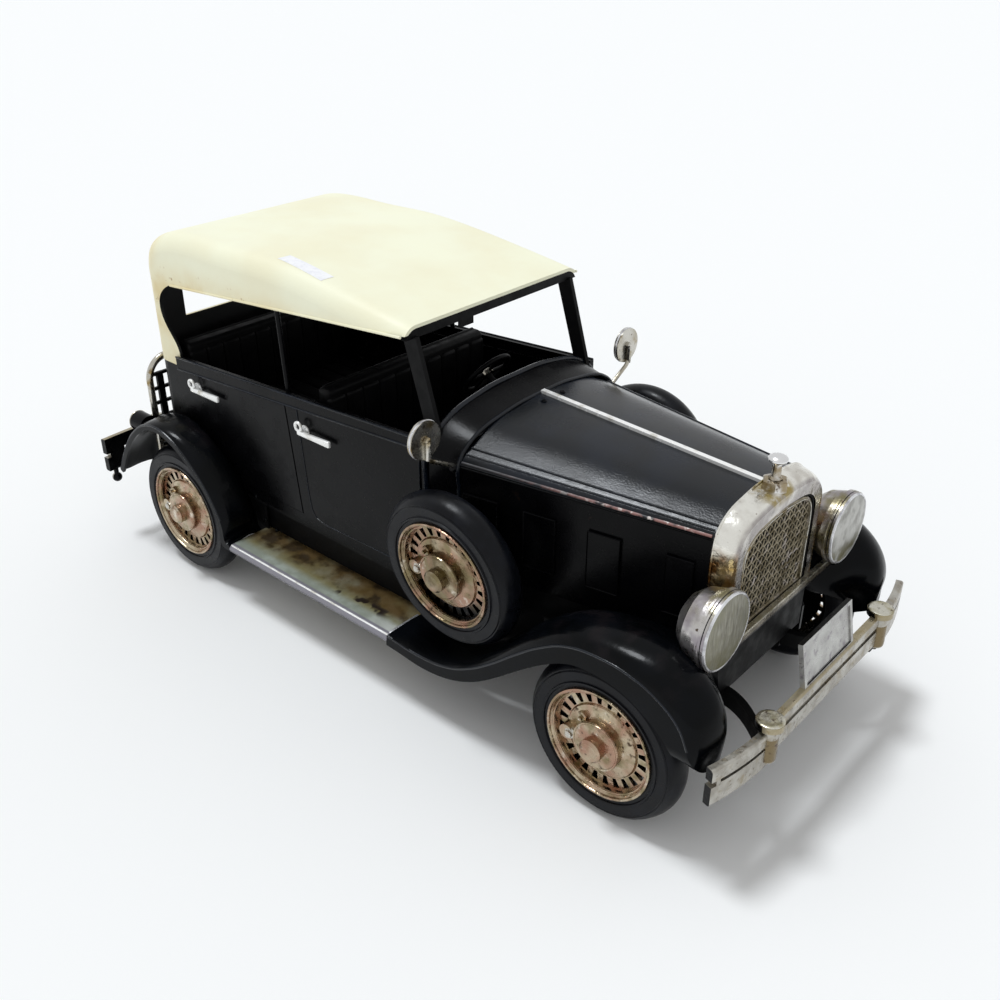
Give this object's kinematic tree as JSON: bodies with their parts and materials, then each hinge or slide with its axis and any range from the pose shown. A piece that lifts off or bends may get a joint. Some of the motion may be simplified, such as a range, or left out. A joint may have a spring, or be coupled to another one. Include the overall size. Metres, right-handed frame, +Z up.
{
  "type": "toy touring car",
  "caption": "Tinplate model of a vintage open touring car with a hard top, wire-mesh radiator, side-mounted spare wheels, luggage rack and wheels that roll.",
  "frame": {"origin": "on the ground under the middle of the whole car", "axes": "+X to the front of the car, +Y to its left side, +Z up"},
  "size_m": [0.265, 0.1084, 0.1184],
  "materials": {
    "black_enamel": "gloss",
    "cream_enamel": "satin",
    "tyre_rubber": "satin",
    "wheel_bronze": "worn",
    "bare_tin": "worn",
    "aged_nickel": "worn",
    "lamp_disc": "brushed",
    "grille_bronze": "worn",
    "axle_steel": "plain"
  },
  "bodies": {
    "car": {"body_tub": "black_enamel", "bulkhead": "black_enamel", "chassis_frame": "black_enamel", "cowl": "black_enamel", "floor_pan": "black_enamel", "front_axle": "axle_steel", "front_bumper": "aged_nickel", "front_door_left": "black_enamel", "front_door_right": "black_enamel", "front_fender_left": "black_enamel", "front_fender_right": "black_enamel", "front_plate": "aged_nickel", "front_seat": "black_enamel", "headlamp_bar": "aged_nickel", "headlamp_left": "aged_nickel", "headlamp_lens_left": "lamp_disc", "headlamp_lens_right": "lamp_disc", "headlamp_right": "aged_nickel", "hood_hinge": "aged_nickel", "hood_side_left": "black_enamel", "hood_side_right": "black_enamel", "hood_top": "black_enamel", "mirror_left": "aged_nickel", "mirror_right": "aged_nickel", "rack_hoop": "aged_nickel", "rack_slats": "black_enamel", "radiator_cap": "aged_nickel", "radiator_core": "black_enamel", "radiator_grille": "grille_bronze", "radiator_shell": "aged_nickel", "rear_axle": "axle_steel", "rear_bumper": "aged_nickel", "rear_door_left": "black_enamel", "rear_door_right": "black_enamel", "rear_fender_left": "black_enamel", "rear_fender_right": "black_enamel", "rear_seat": "black_enamel", "roof": "cream_enamel", "running_board_left": "bare_tin", "running_board_right": "bare_tin", "spare_tyre_left": "tyre_rubber", "spare_tyre_right": "tyre_rubber", "spare_wheel_left": "wheel_bronze", "spare_wheel_right": "wheel_bronze", "steering_wheel": "black_enamel", "tail_lamp_left": "black_enamel", "tail_lamp_right": "black_enamel", "windshield_frame": "black_enamel"},
    "wheel_set_front_right": {"tyre_front_right": "tyre_rubber", "wheel_front_right": "wheel_bronze"},
    "wheel_set_front_left": {"tyre_front_left": "tyre_rubber", "wheel_front_left": "wheel_bronze"},
    "wheel_set_rear_right": {"tyre_rear_right": "tyre_rubber", "wheel_rear_right": "wheel_bronze"},
    "wheel_set_rear_left": {"tyre_rear_left": "tyre_rubber", "wheel_rear_left": "wheel_bronze"}
  },
  "joints": [
    {"name": "front_right_wheel_spin", "type": "hinge", "parent": "car", "child": "wheel_set_front_right", "pos_m": [0.0927, -0.046, 0.0235], "axis": [0, 1, 0], "continuous": true},
    {"name": "front_left_wheel_spin", "type": "hinge", "parent": "car", "child": "wheel_set_front_left", "pos_m": [0.0927, 0.046, 0.0235], "axis": [0, 1, 0], "continuous": true},
    {"name": "rear_right_wheel_spin", "type": "hinge", "parent": "car", "child": "wheel_set_rear_right", "pos_m": [-0.087, -0.046, 0.0235], "axis": [0, 1, 0], "continuous": true},
    {"name": "rear_left_wheel_spin", "type": "hinge", "parent": "car", "child": "wheel_set_rear_left", "pos_m": [-0.087, 0.046, 0.0235], "axis": [0, 1, 0], "continuous": true}
  ]
}
